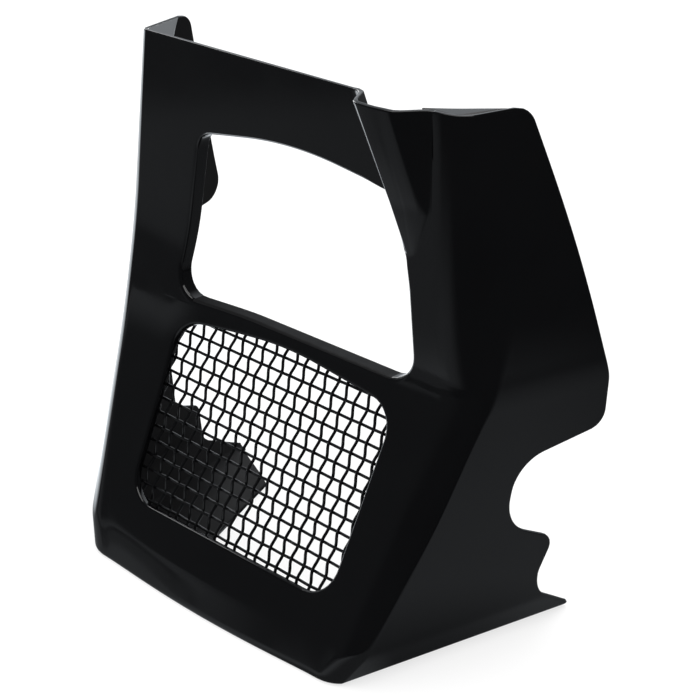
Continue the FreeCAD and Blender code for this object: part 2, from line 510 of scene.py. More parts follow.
@dataclass
class Section:
    """Plan sections of the shell at four heights, from the floor up to the top edge."""

    heights: Array = numbers(0.0, BEVEL, CREASE, TOP)
    halves: Array = numbers(114.7, 127.3, 156.5, 132.0)
    reaches: Array = numbers(79.5, 71.0, 0.0, 0.0)
    flares: Array = numbers(0.224, 0.224, 0.20, 0.256)
    low_softness: float = 4.0
    rear: float = 133.0
    soft_from: float = -30.0
    soft_over: float = 75.0
    bow: float = 4.2
    bow_half: float = 97.0
    bow_spread: float = 0.4
    bow_top: float = 45.0
    bow_over: float = 24.0
    bow_power: float = 1.3

    def weights(self, z: Array, softness: Array) -> Array:
        """Shares of the four sections, straight between them and eased at the creases.

        Args:
            z: heights.
            softness: half width of the eased part of the upper crease, same shape.

        Returns:
            Array with one more axis, of length 4; each row adds up to 1.
        """
        shares = np.eye(len(self.heights))
        kinks = np.diff(np.diff(shares, axis=0) / np.diff(self.heights)[:, None], axis=0)
        distance = z[..., None] - self.heights[1:-1]
        width = np.stack([np.full(z.shape, self.low_softness), softness], axis=-1)
        eased = 0.5 * (soft_abs(distance, width) - np.abs(distance)) @ kinks
        return columns_at(z, self.heights, shares) + eased

    def front(self, x: Array, z: Array) -> Array:
        """Front face without the swelling; its crease grows softer towards the left corner.

        Args:
            x: places across.
            z: heights, same shape.

        Returns:
            Y of the face.
        """
        right, left = CORNERS[Side.RIGHT].front_softness, CORNERS[Side.LEFT].front_softness
        softness = between(right, left, smooth_step((self.soft_from - x) / self.soft_over))
        return -(self.weights(z, softness) @ self.reaches) - self.chin(x, z)

    def chin(self, x: Array, z: Array) -> Array:
        """Bow of the front's bottom between its corners.

        Args:
            x: places across.
            z: heights, of a shape that goes with x.

        Returns:
            Distance that the front stands out.
        """
        half = self.bow_half + self.bow_spread * z
        share = np.clip(1.0 - (x / half) ** 2, 0.0, 1.0) ** self.bow_power
        return self.bow * share * smooth_step((self.bow_top - z) / self.bow_over)

    def drawn_in(self, inset: Array) -> Array:
        """Half widths of the four sections for each row, drawn in by its inset."""
        return self.halves + inset[:, None] * (self.flares - np.sqrt(1.0 + self.flares**2))

    def corner(self, side: Side, z: Array, share: Array, inset: Array) -> Array:
        """Points round one front corner, drawn on the right.

        Each row is the curve (1-t)^2 F + 2t(1-t) P + t^2 S with F on the front, S on the
        side and the control P on the front's line.

        Args:
            side: side of the shell.
            z: heights of the rows.
            share: places t along the corner, 0 at the front and 1 at the side.
            inset: distance that each row is drawn in.

        Returns:
            Array of shape (rows, shares, 2) with x and y.
        """
        blend = CORNERS[side]
        run_front, run_side, run_control, tuck = blend.runs(z)[:, :, None]
        softness = between(blend.front_softness, blend.side_softness, share)
        height, softness = np.broadcast_arrays(z[:, None], softness[None, :])
        weights = self.weights(height, softness)
        t = share[None, :]
        x = np.einsum("rsl,rl->rs", weights, self.drawn_in(inset))
        x = x - (1.0 - t) ** 2 * run_front - 2.0 * t * (1.0 - t) * run_control
        x = x + t * t * (run_side * (weights @ self.flares) - tuck)
        y = inset[:, None] - weights @ self.reaches + t * t * (run_side + tuck)
        return np.stack([x, y], axis=-1)

    def tangent(self, side: Side, z: Array) -> Array:
        """Half width of the straight front on one side, where the corner starts."""
        return self.corner(side, z, np.zeros(1), np.zeros(len(z)))[:, 0, 0]

    def side_end(self, side: Side, z: Array, inset: Array) -> Array:
        """Points of the side line far behind the shell, drawn on the right.

        Args:
            side: side of the shell.
            z: heights of the rows.
            inset: distance that each row is drawn in.

        Returns:
            One plan point for each row.
        """
        weights = self.weights(z, np.full(len(z), CORNERS[side].side_softness))
        x = self.drawn_in(inset) + self.flares * (self.rear + self.reaches - inset[:, None])
        return level(np.sum(weights * x, axis=1), self.rear)


@dataclass
class Swelling:
    """Swelling of the upright face: left foot, edge, crest, ridge and right foot at three heights."""

    heights: Array = numbers(244.0, 275.0, TOP)
    across: Array = numbers(
        (95.0, 97.0, 99.0, 101.0, 103.0), (84.6, 87.6, 98.0, 108.0, 113.0), (59.0, 69.5, 85.0, 99.0, 111.0)
    )
    reach: Array = numbers(
        (0.0, 0.0, 0.0, 0.0, 0.0), (0.0, 5.6, 5.3, 2.6, 0.0), (0.0, 18.7, 18.9, 16.5, 0.0)
    )
    rounding: Array = numbers(
        (0.4, 0.4, 0.4, 0.4, 0.4), (0.8, 0.8, 2.0, 2.0, 1.6), (4.2, 4.0, 3.5, 3.0, 3.0)
    )

    def at(self, table: Array, z: Array) -> Array:
        """A table's five values at each height."""
        return columns_at(z, self.heights, table)

    def bulge(self, x: Array, z: Array) -> Array:
        """Distance that the face stands forward.

        The section is straight between its five points, and each point is eased over
        its rounding: half the sum of slope change times (soft |d| + d).

        Args:
            x: places across the bike.
            z: heights, same shape.

        Returns:
            Reach in front of the face, zero outside the swelling.
        """
        shape = x.shape
        x, z = x.ravel(), z.ravel()
        node, reach, rounding = (self.at(table, z) for table in (self.across, self.reach, self.rounding))
        slope = np.diff(reach, axis=1) / np.diff(node, axis=1)
        change = np.diff(np.pad(slope, ((0, 0), (1, 1))), axis=1)
        distance = x[:, None] - node
        height = 0.5 * np.sum(change * (soft_abs(distance, rounding) + distance), axis=1)
        return np.where(z > self.heights[0], height, 0.0).reshape(shape)


@dataclass
class Opening:
    """An opening in the front with a rounded edge and an inward lip."""

    corners: Array
    inward: Array
    depth: float
    edge_radius: float
    lip_rows: int
    slope: float = 1.0
    base: float = 0.0
    steps: int = 12
    thin_edge: float = 0.5
    thin_from: tuple[float, float] = (1000.0, 1000.0)
    thin_over: float = 20.0

    def outline(self) -> Array:
        """Closed outline, counterclockwise from the front.

        Returns:
            Array of shape (points, 4) with x, height and the outward unit normal.
        """
        arcs = rounded_corners(self.corners, self.steps).reshape(-1, 2)
        arcs[:, 1] = self.base + self.slope * arcs[:, 1]
        tangent = np.roll(arcs, -1, axis=0) - np.roll(arcs, 1, axis=0)
        normal = unit(np.stack([tangent[:, 1], -tangent[:, 0]], axis=1))
        return np.concatenate([arcs, normal], axis=1)

    def run(self, first: int, last: int) -> Array:
        """Outline from the middle of one corner's arc to the middle of another's.

        Args:
            first: number of the corner where the run starts.
            last: number of the corner where it ends, counted on past the last corner.

        Returns:
            The outline's rows from the one to the other.
        """
        outline = self.outline()
        stride, middle = self.steps + 1, self.steps // 2
        return outline[np.arange(first * stride + middle, last * stride + middle + 1) % len(outline)]

    def radius(self, edge: Array) -> Array:
        """Radius of the rounded edge, thinner beyond the given place across and up."""
        thin = smooth_step((edge[:, :2] - self.thin_from) / self.thin_over).prod(axis=1)
        return between(self.edge_radius, self.thin_edge, thin)

    def ring(self, edge: Array) -> Array:
        """Where the rounded edge leaves the face: the outline moved out by its radius."""
        return edge[:, :2] + edge[:, 2:] * self.radius(edge)[:, None]


def true_normals(run: Array) -> Array:
    """Run of outline with its normals made one long again."""
    return np.concatenate([run[:, :2], unit(run[:, 2:])], axis=1)


def by_height(run: Array, z: Array) -> Array:
    """Points of a run of outline at given heights; the run climbs or falls all the way."""
    order = run[np.argsort(run[:, 1], kind="stable")]
    return true_normals(columns_at(z, order[:, 1], order))


def by_length(run: Array, share: Array) -> Array:
    """Points of a run of outline at given shares of its length."""
    length = running_length(run[:, :2])
    return true_normals(columns_at(share * length[-1], length, run))


def climb(run: Array, z: Array) -> Array:
    """Points of a climbing run, with the rows' heights spread over the run's.

    Args:
        run: rows of an outline, from the lowest up.
        z: heights of the grid's rows, rising.

    Returns:
        One row of the outline for each height; both ends are kept.
    """
    edge = by_height(run, np.interp(z, z[[0, -1]], run[[0, -1], 1]))
    edge[0], edge[-1] = run[0], run[-1]
    return edge


def cooler_opening() -> Opening:
    """Arched opening in the upright face."""
    low = [(-103.0, 166.0, 17.0), (103.0, 166.0, 17.0), (95.5, 243.0, 12.0)]
    high = [(82.0, 279.0, 6.0), (0.0, 288.5, 300.0), (-82.0, 276.0, 14.0)]
    corners = np.array(low + high)
    inward = np.array([0.0, 1.0, 0.0])
    return Opening(corners, inward, depth=10.0, edge_radius=2.2, lip_rows=4, thin_from=(58.0, 222.0))


def grille_window() -> Opening:
    """Window in the raked face, drawn down the slope from the crease."""
    low = [(-91.5, -141.0, 21.0), (91.5, -141.0, 21.0)]
    high = [(95.5, -20.0, 21.0), (0.0, -11.0, 300.0), (-95.5, -20.0, 21.0)]
    corners = np.array(low + high)
    return Opening(
        corners, SLOPE_IN, depth=5.0, edge_radius=1.8, lip_rows=2, slope=math.cos(RAKE), base=CREASE
    )


# Corners of the rear edges as depth, height and radius, from the floor tip up. The two
# closing corners lie outside the wall and only give the ends their directions.
CLOSING = [(-200.0, TOP, 0.0), (200.0, -8.0, 0.0)]
RIGHT_EDGE = [
    (89.5, 3.0, 0.0), (55.0, 26.0, 20.0), (55.5, 41.0, 14.0), (64.5, 63.0, 9.0), (26.5, 82.0, 26.0),
    (31.5, 123.0, 25.0), (93.0, 133.0, 11.5), (93.0, 165.0, 40.0), (72.5, 250.0, 1400.0), (46.0, TOP, 13.0),
]
LEFT_EDGE = [
    (89.5, 3.0, 0.0), (55.0, 18.0, 6.0), (53.0, 46.0, 6.0), (29.0, 55.0, 6.0),
    (25.0, 184.0, 25.0), (93.5, 192.0, 14.0), (46.0, TOP, 13.0),
]
REAR_EDGES = {Side.RIGHT: np.array(RIGHT_EDGE + CLOSING), Side.LEFT: np.array(LEFT_EDGE + CLOSING)}
# Right half of the floor gap as x, y and radius, with one corner more at each end.
FLOOR_GAP = np.array([
    (-55.0, -35.0, 20.0), (55.0, -35.0, 20.0), (96.0, 64.0, 6.0), (165.0, 94.5, 0.0), (165.0, 200.0, 0.0),
])


@dataclass
class RearEdge:
    """Rear edge of one side wall, from the floor tip up to the top corner."""

    side: Side
    band: float = 2.4
    pitch: float = 2.6
    arc_steps: int = 16
    stations: int = 1600
    apart: float = 1e-6
    end_run: float = 14.0

    def path(self) -> Array:
        """Edge with rounded corners, whose inward direction turns level towards both ends.

        Returns:
            Array of shape (stations, 4) with depth, height and the inward direction.
        """
        arcs = rounded_corners(REAR_EDGES[self.side], self.arc_steps)
        points = arcs[: -len(CLOSING)].reshape(-1, 2)
        points = points[np.append(True, np.diff(running_length(points)) > self.apart)]
        length = running_length(points)
        fine = np.linspace(0.0, length[-1], self.stations)
        points = columns_at(fine, length, points)
        tangent = np.gradient(points, axis=0)
        inward = unit(np.stack([-tangent[:, 1], tangent[:, 0]], axis=1))
        low, high = smooth_step(fine / self.end_run), smooth_step(1.0 + (fine - fine[-1]) / self.end_run)
        ends = np.maximum(1.0 - low, high)
        inward = unit(between(inward, np.array([-1.0, 0.0]), ends[:, None]))
        return np.concatenate([points, inward], axis=1)

    def heights(self) -> Array:
        """Points evenly spaced along the edge.

        Returns:
            Their heights, from the floor tip up.
        """
        path = self.path()[:, :2]
        count = int(running_length(path)[-1] / self.pitch)
        return along(path, np.linspace(0.0, 1.0, count))[:, 1]

    def at(self, z: Array) -> tuple[Array, Array]:
        """Edge at given heights.

        Args:
            z: heights.

        Returns:
            Points of the edge and of a line a band's width inside it, as depth and height.
        """
        path = self.path()
        rising = np.maximum.accumulate(path[:, 1] + HAIR * np.arange(len(path)))
        found = columns_at(z, rising, path[:, [0, 2, 3]])
        edge = np.stack([found[:, 0], z], axis=1)
        return edge, edge + self.band * found[:, 1:]


@dataclass
class Shell:
    """The moulded shell: one skin, then its wall and its rounded rims."""

    section: Section = field(default_factory=Section)
    swelling: Swelling = field(default_factory=Swelling)
    cooler: Opening = field(default_factory=cooler_opening)
    window: Opening = field(default_factory=grille_window)
    wall: float = 3.0
    rim: float = 0.8
    floor_edge: float = 3.2
    split: float = 162.5
    rings: int = 27
    ring_power: float = 1.15
    corner_columns: int = 14
    corner_last: float = 0.95
    side_columns: int = 24
    side_first: tuple[float, float] = (0.009, 0.05)
    front_columns: int = 49
    low_count: int = 9
    floor_rows: int = 9
    gap_steps: int = 10
    crease_reach: float = 16.0
    crease_rows: int = 13
    row_grid: float = 0.4
    row_gap: float = 0.9
    turn_gap: float = 0.5
    column_gap: float = 0.05
    marks: tuple[int, ...] = (2, 2, 2, 2, 2, 1, 1, 2, 1, 1, 3, 1, 1, 5)
    knee: float = 240.0
    calm_over: float = 55.0
    tip_width: float = 3.3
    lip_half: float = 86.0
    lip_from: float = 0.4

    def __post_init__(self) -> None:
        """Works out the shares shared by neighbouring grids and the rows of each side."""
        self.ring_share = 1.0 - (1.0 - np.linspace(0.0, 1.0, self.rings)) ** self.ring_power
        self.corner_share = np.append(np.linspace(0.0, self.corner_last, self.corner_columns - 1), 1.0)
        first, second = self.side_first
        self.side_share = np.append(first, np.linspace(second, 1.0, self.side_columns - 2))
        self.front_share = np.linspace(0.0, 1.0, self.front_columns)
        self.low_rows = np.linspace(self.floor_edge, BEVEL, self.low_count)
        right_top = self.cooler.run(3, 4)[:1]
        self.turn = self.cooler.ring(right_top)[0]
        self.turn_edge = right_top[0]
        self.rim_start = self.swelling.across[-1, 0]
        self.rows = {side: self.side_rows(side) for side in Side}

    def side_rows(self, side: Side) -> Array:
        """Heights of the rows on one side, closer at the creases and along the level edges.

        Args:
            side: side of the shell.

        Returns:
            Heights from the floor's edge up.
        """
        crease = CREASE + np.linspace(-self.crease_reach, self.crease_reach, self.crease_rows)
        fixed = np.array([BEVEL, self.split, TOP])
        z = np.concatenate([RearEdge(side).heights(), crease])
        z = np.unique(np.round(z / self.row_grid) * self.row_grid)
        apart = np.abs(z[:, None] - fixed).min(axis=1) > self.row_gap
        z = z[apart & (z > BEVEL) & (z < TOP)]
        if side is Side.RIGHT:
            high = between(self.turn[1], TOP, self.ring_share)
            z = np.concatenate([z[z < self.turn[1] - self.turn_gap], high[:-1]])
        return np.concatenate([self.low_rows[:-1], np.sort(np.concatenate([z, fixed]))])

    def span(self, side: Side, low: float, high: float) -> Array:
        """Heights of one side's rows between two heights."""
        z = self.rows[side]
        return z[(z >= low - HAIR) & (z <= high + HAIR)]

    def face(self, flat: Array) -> Array:
        """Front surface, set forward by the section and the swelling.

        Args:
            flat: places across and up, on the last axis.

        Returns:
            Points with y put in between.
        """
        x, z = flat[..., 0], flat[..., 1]
        y = self.section.front(x, z) - self.swelling.bulge(x, z)
        return np.stack([x, y, z], axis=-1)

    def on_side(self, side: Side, depth: Array, z: Array) -> Array:
        """Side wall, a straight line at each height.

        Args:
            side: side of the shell.
            depth: distances behind the upright face.
            z: heights, same shape.

        Returns:
            Points drawn on the right, with one more axis.
        """
        flat = z.ravel()
        none = np.zeros(len(flat))
        near = self.section.corner(side, flat, np.ones(1), none)[:, 0]
        far = self.section.side_end(side, flat, none)
        share = (depth.ravel() - near[:, 1]) / (far[:, 1] - near[:, 1])
        x = between(near[:, 0], far[:, 0], share)
        return np.stack([x.reshape(z.shape), depth, z], axis=-1)

    def side_grid(self, side: Side) -> Array:
        """Corner and side wall of one side, from the front to the rear edge, row by row.

        Args:
            side: side of the shell.

        Returns:
            Array of shape (rows, columns, 3).
        """
        z = self.rows[side]
        plan = self.section.corner(side, z, self.corner_share, np.zeros(len(z)))
        edge, inner = RearEdge(side).at(z)
        start = np.stack([plan[:, -1, 1], z], axis=1)
        flat = between(start[:, None], inner[:, None], self.side_share[None, :, None])
        flat = np.concatenate([flat, edge[:, None]], axis=1)
        wall = self.on_side(side, flat[..., 0], flat[..., 1])
        return np.concatenate([raised(plan, z), wall], axis=1) * np.array([side.value, 1.0, 1.0])

    def across(self, z: float) -> Array:
        """Places across the straight front at one height, from the left corner to the right."""
        left, right = (self.section.tangent(side, np.array([z]))[0] for side in (Side.LEFT, Side.RIGHT))
        return between(-left, right, self.front_share)

    def floor_rim(self, side: Side, z: Array, inset: Array) -> Array:
        """Plan of the rounded floor edge round one corner and back to the tip, row by row.

        Args:
            side: side whose rear edge ends the rows.
            z: heights of the rows.
            inset: distance that each row is drawn in.

        Returns:
            Array of shape (rows, columns, 2), drawn on the right.
        """
        corner = self.section.corner(side, z, self.corner_share, inset)
        far = self.section.side_end(side, z, inset)
        edge, inner = RearEdge(side).at(self.low_rows[:1])
        start = corner[:, -1]
        depth = between(start[:, 1:], inner[0, 0], self.side_share[None, :])
        depth = np.concatenate([depth, np.full((len(z), 1), edge[0, 0])], axis=1)
        slope = (far[:, :1] - start[:, :1]) / (far[:, 1:] - start[:, 1:])
        wall = np.stack([start[:, :1] + slope * (depth - start[:, 1:]), depth], axis=-1)
        return np.concatenate([corner, wall], axis=1)

    def bottom_grids(self, work: Patchwork) -> None:
        """Front of the bottom band, the rounded edge under it and the floor round its gap.

        Args:
            work: collection that takes the grids.
        """
        x = np.stack([self.across(z) for z in self.low_rows])
        z = np.broadcast_to(self.low_rows[:, None], x.shape)
        work.add(self.face(np.stack([x, z], axis=-1)))
        z, inset = (self.floor_edge * share for share in quarter())
        right, left = (self.floor_rim(side, z, inset) for side in Side)
        gap_right, gap_left = self.gap_half(right[-1]), self.gap_half(left[-1])[::-1] * MIRROR
        left = left[:, ::-1] * MIRROR
        inside = self.front_share[None, 1:-1, None]
        front = between(left[:, -1:], right[:, :1], inside)
        front[..., 1] -= self.section.chin(front[..., 0], z[:, None])
        loop = np.concatenate([left, front, right], axis=1)
        work.add(raised(loop, z))
        gap = np.concatenate([gap_left, between(gap_left[-1:], gap_right[:1], inside[0]), gap_right])
        floor = between(loop[-1], gap, np.linspace(0.0, 1.0, self.floor_rows)[:, None, None])
        work.add(raised(floor, np.zeros(self.floor_rows)))

    def gap_half(self, outer: Array) -> Array:
        """Right half of the floor gap's edge, one point for each point of the floor's outer edge.

        The corner is taken by length. The flank is taken at the same share of the depth
        and stays a tip's width inside the outer edge.

        Args:
            outer: plan points of the floor's outer edge, drawn on the right.

        Returns:
            Plan points of the gap's edge.
        """
        arcs = rounded_corners(FLOOR_GAP, self.gap_steps)
        flank = np.concatenate([arcs[1, -1:], arcs[2], arcs[3, :1]])
        start, wall = outer[self.corner_columns - 1, 1], outer[self.corner_columns :]
        share = (wall[:, 1] - start) / (wall[-1, 1] - start)
        depth = between(flank[0, 1], wall[-1, 1], share)
        x = np.minimum(np.interp(depth, flank[:, 1], flank[:, 0]), wall[:, 0] - self.tip_width)
        return np.concatenate([along(arcs[1], self.corner_share), np.stack([x, depth], axis=1)])

    def swelling_share(self, z: Array, near: Array, far: Array) -> Array:
        """Shares across the right of the upright face, on the swelling's own lines.

        Args:
            z: heights of the rows, from the swelling's foot up.
            near: where each row starts.
            far: where it ends.

        Returns:
            Array of shape (rows, rings).
        """
        node = self.swelling.at(self.swelling.across, z)
        ease = self.swelling.at(self.swelling.rounding, z)
        lines = [near, node[:, 0] + ease[:, 0]]
        for k in range(1, node.shape[1]):
            lines += [node[:, k] - ease[:, k], node[:, k], node[:, k] + ease[:, k]]
        place = np.stack([*lines, far], axis=1)
        index = np.concatenate([[0], np.cumsum(self.marks)])
        column = np.arange(self.rings)
        weights = columns_at(column, index, np.eye(len(index)))
        place = np.maximum(place @ weights.T, near[:, None] + self.column_gap * column[None, :])
        place = np.maximum.accumulate(place, axis=1)
        return (place - near[:, None]) / (far - near)[:, None]

    def right_grid(self) -> tuple[Array, Array]:
        """Flat grid right of the cooler opening, whose columns follow the swelling.

        Returns:
            The grid, and the part of the opening's outline that it starts from.
        """
        z = self.span(Side.RIGHT, self.split, TOP)
        below = z <= self.turn[1] + HAIR
        run = self.cooler.run(1, 3)
        places = [run[0, 1], self.knee, self.turn_edge[1]]
        edge = by_height(run, np.interp(z[below], [self.split, self.knee, self.turn[1]], places))
        edge[0], edge[-1] = run[0], self.turn_edge
        outer = np.stack([self.section.tangent(Side.RIGHT, z), z], axis=1)
        share_up = (z[~below] - self.turn[1]) / (TOP - self.turn[1])
        rising = between(self.turn, np.array([self.rim_start, TOP]), share_up[:, None])
        inner = np.concatenate([self.cooler.ring(edge), rising])
        foot = self.swelling.heights[0]
        share = self.swelling_share(np.maximum(z, foot), inner[:, 0], outer[:, 0])
        at_foot = share[np.argmin(np.abs(z - foot))]
        lower = between(at_foot, self.ring_share, smooth_step((foot - z) / self.calm_over)[:, None])
        share = np.where((z > foot)[:, None], share, lower)
        share[0] = self.ring_share
        return between(inner[:, None], outer[:, None], share[..., None]), edge

    def fill(self, work: Patchwork, opening: Opening, edge: Array, outer: Array) -> None:
        """Adds the face from an opening's rounded edge out to the face's own edge."""
        inner = opening.ring(edge)
        work.add(self.face(between(inner[:, None], outer[:, None], self.ring_share[None, :, None])))

    def upper_grids(self, work: Patchwork) -> None:
        """Upright face: four grids round the cooler opening and its lip.

        Args:
            work: collection that takes the grids.
        """
        grid, right = self.right_grid()
        work.add(self.face(grid))
        z = self.span(Side.LEFT, self.split, TOP)
        left = climb(self.cooler.run(5, 6)[::-1], z)
        self.fill(work, self.cooler, left, np.stack([-self.section.tangent(Side.LEFT, z), z], axis=1))
        bottom = by_length(self.cooler.run(0, 1), self.front_share)
        self.fill(work, self.cooler, bottom, level(self.across(self.split), self.split))
        top = by_length(self.cooler.run(3, 5), self.front_share)
        rim = between(self.rim_start, self.across(TOP)[0], self.front_share)
        self.fill(work, self.cooler, top, level(rim, TOP))
        self.lip(work, self.cooler, [bottom, right, top, left[::-1]])

    def lower_grids(self, work: Patchwork) -> None:
        """Raked face: four grids round the grille window and its lip.

        Args:
            work: collection that takes the grids.
        """
        runs = {Side.RIGHT: self.window.run(1, 2), Side.LEFT: self.window.run(4, 5)[::-1]}
        edges = {}
        for side, run in runs.items():
            z = self.span(side, BEVEL, self.split)
            edges[side] = climb(run, z)
            outer = np.stack([side.value * self.section.tangent(side, z), z], axis=1)
            self.fill(work, self.window, edges[side], outer)
        bottom = by_length(self.window.run(0, 1), self.front_share)
        self.fill(work, self.window, bottom, level(self.across(BEVEL), BEVEL))
        top = by_length(self.window.run(2, 4), self.front_share)
        self.fill(work, self.window, top, level(self.across(self.split)[::-1], self.split))
        self.lip(work, self.window, [bottom, edges[Side.RIGHT], top, edges[Side.LEFT][::-1]])

    def lip(self, work: Patchwork, opening: Opening, edges: list[Array]) -> None:
        """Rounded edge and inward lip of an opening.

        A quarter circle leads from the face to the outline, and the lip then runs
        straight in to its depth.

        Args:
            work: collection that takes the grid.
            opening: the opening.
            edges: runs of its outline in order, each ending where the next starts.
        """
        edge = np.concatenate([run[:-1] for run in edges])
        radius = opening.radius(edge)[None, :, None]
        outward, inward = (share[:, None, None] for share in quarter())
        flat = edge[None, :, :2] + edge[None, :, 2:] * radius * outward
        curve = self.face(flat) + opening.inward * radius * inward
        share = np.linspace(0.0, 1.0, opening.lip_rows + 1)[1:, None, None]
        straight = curve[-1:] + opening.inward * share * (opening.depth - radius)
        work.add(np.concatenate([curve, straight]), closed=True)

    def build(self) -> bpy.types.Object:
        """Builds the skin and gives it its wall.

        Returns:
            The shell, which stands for the CAD node of the same piece.
        """
        work = Patchwork()
        for side in Side:
            work.add(self.side_grid(side))
        self.bottom_grids(work)
        self.upper_grids(work)
        self.lower_grids(work)
        mesh = work.mesh("moulded_shell", WELD)
        self.face_front(mesh)
        self.mark_rims(mesh)
        self.mark_lip(mesh)
        piece = new_piece("moulded_shell", mesh)
        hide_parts("spoiler_shell")
        mesh.materials.append(GLOSS_SKIN.material())
        mesh.materials.append(PLAIN_BACK.material())
        self.thicken(piece)
        return piece

    def polygons(self, mesh: bpy.types.Mesh, measure: str) -> Array:
        """Centres or normals of a mesh's faces."""
        found = np.empty(len(mesh.polygons) * 3)
        mesh.polygons.foreach_get(measure, found)
        return found.reshape(-1, 3)

    def face_front(self, mesh: bpy.types.Mesh) -> None:
        """Turns the whole skin round if its foremost face looks back."""
        foremost = np.argmin(self.polygons(mesh, "center")[:, 1])
        if self.polygons(mesh, "normal")[foremost, 1] > 0.0:
            mesh.flip_normals()

    def mark_lip(self, mesh: bpy.types.Mesh) -> None:
        """Gives the straight bottom of the cooler opening's lip the inside's finish.

        Args:
            mesh: the skin.
        """
        x, y, z = (self.polygons(mesh, "center") / MM).T
        behind = y - FACE_BACK - self.section.front(x, z)
        lip = (behind > self.lip_from) & (np.abs(x) < self.lip_half)
        lip &= (z > self.split) & (z < CREASE)
        mesh.polygons.foreach_set("material_index", lip.astype(np.int32))

    def mark_rims(self, mesh: bpy.types.Mesh) -> None:
        """Gives the edges of only one face the weight that lets them be rounded.

        Args:
            mesh: the skin.
        """
        edge = np.empty(len(mesh.loops), dtype=np.int32)
        mesh.loops.foreach_get("edge_index", edge)
        weight = (np.bincount(edge, minlength=len(mesh.edges)) == 1).astype(np.float32)
        mesh.attributes.new("bevel_weight_edge", "FLOAT", "EDGE").data.foreach_set("value", weight)

    def thicken(self, piece: bpy.types.Object) -> None:
        """Gives the skin its wall, with the inside's finish, and rounds the rims.

        Args:
            piece: the shell.
        """
        wall = piece.modifiers.new("wall", "SOLIDIFY")
        wall.thickness = self.wall * MM
        wall.offset = -1.0
        wall.use_even_offset = True
        wall.use_quality_normals = True
        wall.material_offset = 1
        wall.material_offset_rim = 0
        rim = piece.modifiers.new("rims", "BEVEL")
        rim.width = self.rim * MM
        rim.segments = 3
        rim.limit_method = "WEIGHT"
        rim.use_clamp_overlap = False
        rim.miter_outer = "MITER_ARC"
        shade = piece.modifiers.new("flat_faces_first", "WEIGHTED_NORMAL")
        shade.weight = 60
        shade.keep_sharp = False


@dataclass
class CornerWebs:
    """Webs that fill both top corners behind the rim and run out down the corner."""

    across: float = 27.0
    back: float = 34.0
    depth: float = 30.0
    drop: float = 0.3
    nose: float = 2.4
    inset: float = 1.6
    stations: int = 17
    profile: int = 8

    def grid(self, side: Side, section: Section) -> Array:
        """One web: a profile along the straight edge between front and side.

        The profile starts at the corner, runs level to the edge, turns round it on a
        quadratic curve and falls back to the foot on the corner line.

        Args:
            side: side of the shell.
            section: plan sections of the shell.

        Returns:
            Array of shape (stations, profile points, 3).
        """
        half, flare = section.halves[-1], section.flares[-1]
        height = TOP - self.drop - np.array([0.0, self.depth])
        plan = section.corner(side, height, np.array([0.5]), np.full(2, self.inset))[:, 0]
        corner, foot = np.column_stack([plan, height])
        sharp = np.array([half - self.inset, self.inset, height[0]])
        start = sharp + np.array([-self.across, 0.0, 0.0])
        end = sharp + np.array([flare * self.back, self.back, 0.0])
        edge = between(start, end, np.linspace(0.0, 1.0, self.stations)[:, None, None])
        upper = edge + self.nose * unit(corner - edge)
        lower = edge + self.nose * unit(foot - edge)
        t = np.linspace(0.0, 1.0, self.profile)[None, :, None]
        turn = (1.0 - t) ** 2 * upper + 2.0 * t * (1.0 - t) * edge + t**2 * lower
        parts = [between(corner, upper, t), turn[:, 1:], between(lower, foot, t)[:, 1:]]
        return np.concatenate(parts, axis=1) * np.array([side.value, 1.0, 1.0])

    def build(self, section: Section) -> bpy.types.Object:
        """Builds both webs as one piece of the moulding.

        Args:
            section: plan sections of the shell.

        Returns:
            The webs.
        """
        work = Patchwork()
        for side in Side:
            work.add(self.grid(side, section))
        mesh = work.mesh("corner_webs", WELD, close=True)
        mesh.materials.append(GLOSS_SKIN.material())
        return new_piece("corner_webs", mesh)


